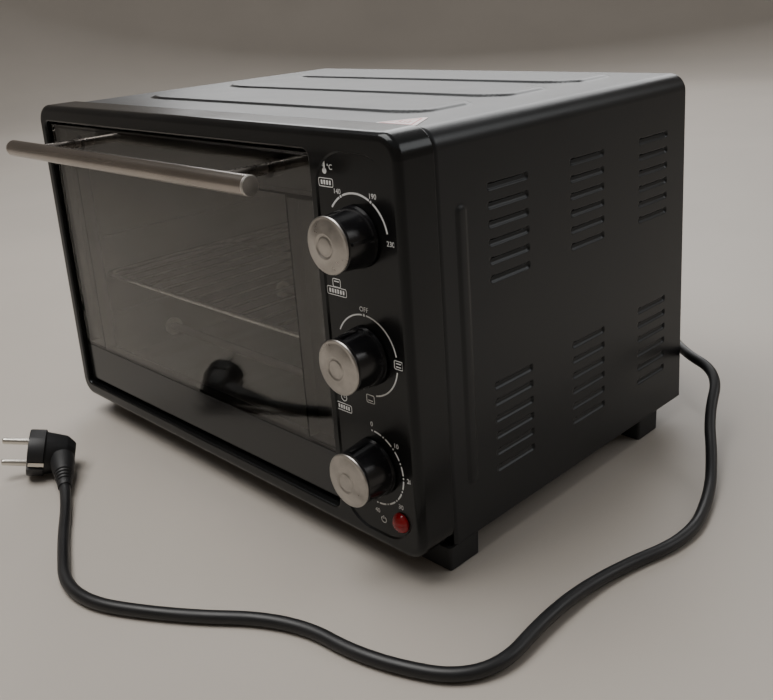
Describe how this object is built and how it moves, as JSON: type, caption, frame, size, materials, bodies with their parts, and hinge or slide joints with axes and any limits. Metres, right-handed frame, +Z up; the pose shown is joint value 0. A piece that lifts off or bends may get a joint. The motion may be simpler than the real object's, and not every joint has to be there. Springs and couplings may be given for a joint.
{
  "type": "mini oven",
  "caption": "Countertop mini oven: black steel cabinet, drop-down glass door with bar handle, three control knobs, wire rack and mains cord.",
  "frame": {"origin": "On the floor, under the middle of the oven's width and of its depth from handle bar to rear edge.", "axes": "X to the right across the front, Y from the door to the rear, Z up."},
  "size_m": [0.4905, 0.5047, 0.262],
  "materials": {
    "black_enamel": "satin black enamel on pressed steel",
    "aluminised": "dull aluminised steel sheet",
    "tinted_glass": "clear tempered glass, lightly tinted",
    "black_rail": "satin black aluminium extrusion",
    "stainless": "satin stainless steel",
    "knob_black": "glossy black thermoset",
    "satin_silver": "satin silver cap",
    "zinc_steel": "bright zinc plated steel",
    "foot_plastic": "matt black moulded plastic",
    "heater_steel": "grey oxidised heater sheath",
    "ceramic_white": "white ceramic",
    "chrome_wire": "chromed steel wire",
    "control_plastic": "cream moulded plastic",
    "red_lens": "translucent red lens",
    "cord_pvc": "black flexible jacket",
    "plug_pvc": "black moulded plug",
    "nickel": "nickel plated contacts",
    "sticker_paper": "printed adhesive label"
  },
  "bodies": {
    "oven": {"fascia": "black_enamel", "cover": "black_enamel", "base_panel": "black_enamel", "rear_panel": "black_enamel", "foot_front_left": "foot_plastic", "foot_front_right": "foot_plastic", "foot_rear_left": "foot_plastic", "foot_rear_right": "foot_plastic", "foot_screws": "zinc_steel", "rear_screws": "zinc_steel", "sticker": "sticker_paper", "front_frame": "black_enamel", "cavity_left": "aluminised", "cavity_right": "aluminised", "cavity_back": "aluminised", "cavity_floor": "aluminised", "cavity_ceiling": "aluminised", "heater_lower": "heater_steel", "heater_upper": "heater_steel", "heater_bushes": "ceramic_white", "hinge_bracket_left": "zinc_steel", "hinge_bracket_right": "zinc_steel", "thermostat": "control_plastic", "function_switch": "control_plastic", "timer": "control_plastic", "control_nuts": "zinc_steel", "power_lamp": "red_lens", "lamp_holder": "control_plastic", "terminal_block": "control_plastic", "cord_gland": "plug_pvc", "mains_cord": "cord_pvc", "plug_body": "plug_pvc", "plug_pins": "nickel", "plug_clips": "nickel"},
    "door": {"door_glass": "tinted_glass", "door_bottom_rail": "black_rail", "door_top_rail": "black_enamel", "door_stile_left": "black_enamel", "door_stile_right": "black_enamel", "hinge_pins": "zinc_steel", "handle_bar": "stainless", "handle_caps": "stainless", "handle_posts": "stainless", "handle_screws": "zinc_steel"},
    "rack": {"wire_rack": "chrome_wire"},
    "knob_temperature_turn": {"knob_temperature": "knob_black", "knob_temperature_cap": "satin_silver", "shaft_temperature": "zinc_steel"},
    "knob_function_turn": {"knob_function": "knob_black", "knob_function_cap": "satin_silver", "shaft_function": "zinc_steel"},
    "knob_timer_turn": {"knob_timer": "knob_black", "knob_timer_cap": "satin_silver", "shaft_timer": "zinc_steel"}
  },
  "joints": [
    {"name": "door_hinge", "type": "hinge", "parent": "oven", "child": "door", "pos_m": [-0.03, -0.1165, 0.0355], "axis": [1, 0, 0], "range_deg": [0, 85]},
    {"name": "rack_slide", "type": "slide", "parent": "oven", "child": "rack", "axis": [0, -1, 0], "range_m": [0, 0.08]},
    {"name": "temperature_knob", "type": "hinge", "parent": "oven", "child": "knob_temperature_turn", "pos_m": [0.165, -0.136, 0.205], "axis": [0, 1, 0], "range_deg": [-136, 0]},
    {"name": "function_knob", "type": "hinge", "parent": "oven", "child": "knob_function_turn", "pos_m": [0.165, -0.136, 0.1367], "axis": [0, 1, 0], "range_deg": [0, 270]},
    {"name": "timer_knob", "type": "hinge", "parent": "oven", "child": "knob_timer_turn", "pos_m": [0.165, -0.136, 0.0684], "axis": [0, 1, 0], "range_deg": [0, 180]}
  ],
  "couplings": [
    {"joint": "rack_slide", "follows": "door_hinge", "m_per_rad": 0.05}
  ]
}
